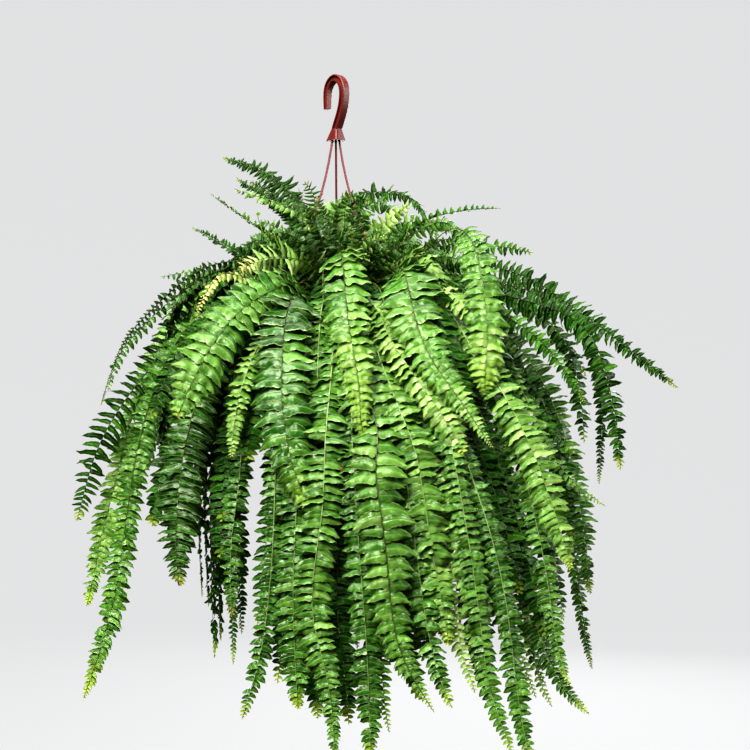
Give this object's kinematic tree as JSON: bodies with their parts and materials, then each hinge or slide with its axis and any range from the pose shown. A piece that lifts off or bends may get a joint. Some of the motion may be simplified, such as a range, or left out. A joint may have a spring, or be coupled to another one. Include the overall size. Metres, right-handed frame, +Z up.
{
  "type": "boston fern in hanging basket",
  "caption": "Mature arching fern in a round plastic pot that hangs by thin strands from a J-shaped plastic hook; long drooping fronds cover the pot on all sides.",
  "frame": {"origin": "on the pot's axis, under the top of the hook's arch, where a rod or screw hook carries it", "axes": "+Z up, out of the pot's mouth; +X to the right and -Y towards the front of the plant as pictured"},
  "size_m": [0.6884, 0.5037, 0.7297],
  "materials": {
    "hanger_plastic": "satin",
    "pot_plastic": "satin",
    "soil": "matte",
    "crown": "matte",
    "foliage": "satin",
    "young_foliage": "satin"
  },
  "bodies": {
    "root": {"crown": "crown", "frond_back_01": "foliage", "frond_back_02": "foliage", "frond_back_03": "foliage", "frond_back_04": "foliage", "frond_back_05": "foliage", "frond_back_06": "foliage", "frond_back_07": "foliage", "frond_back_08": "foliage", "frond_back_09": "foliage", "frond_front_01": "foliage", "frond_front_02": "foliage", "frond_front_03": "foliage", "frond_front_04": "foliage", "frond_front_05": "young_foliage", "frond_front_06": "young_foliage", "frond_front_07": "foliage", "frond_front_08": "foliage", "frond_front_09": "foliage", "frond_front_10": "foliage", "frond_left_01": "foliage", "frond_left_02": "foliage", "frond_left_03": "foliage", "frond_left_04": "young_foliage", "frond_left_05": "young_foliage", "frond_left_06": "foliage", "frond_left_07": "young_foliage", "frond_left_08": "foliage", "frond_left_09": "foliage", "frond_left_10": "foliage", "frond_low_01": "foliage", "frond_low_02": "foliage", "frond_low_03": "foliage", "frond_low_04": "foliage", "frond_right_01": "foliage", "frond_right_02": "foliage", "frond_right_03": "foliage", "frond_right_04": "foliage", "frond_right_05": "foliage", "frond_right_06": "foliage", "frond_right_07": "young_foliage", "frond_right_08": "foliage", "frond_right_09": "foliage", "frond_right_10": "foliage", "frond_right_11": "foliage", "frond_right_12": "foliage", "frond_top_01": "foliage", "frond_top_02": "foliage", "frond_top_03": "foliage", "frond_top_04": "foliage", "frond_top_05": "foliage", "frond_top_06": "young_foliage", "frond_top_08": "foliage", "hanger_hook": "hanger_plastic", "hanger_strand_1": "hanger_plastic", "hanger_strand_2": "hanger_plastic", "hanger_strand_3": "hanger_plastic", "pot": "pot_plastic", "potting_soil": "soil"}
  },
  "joints": []
}
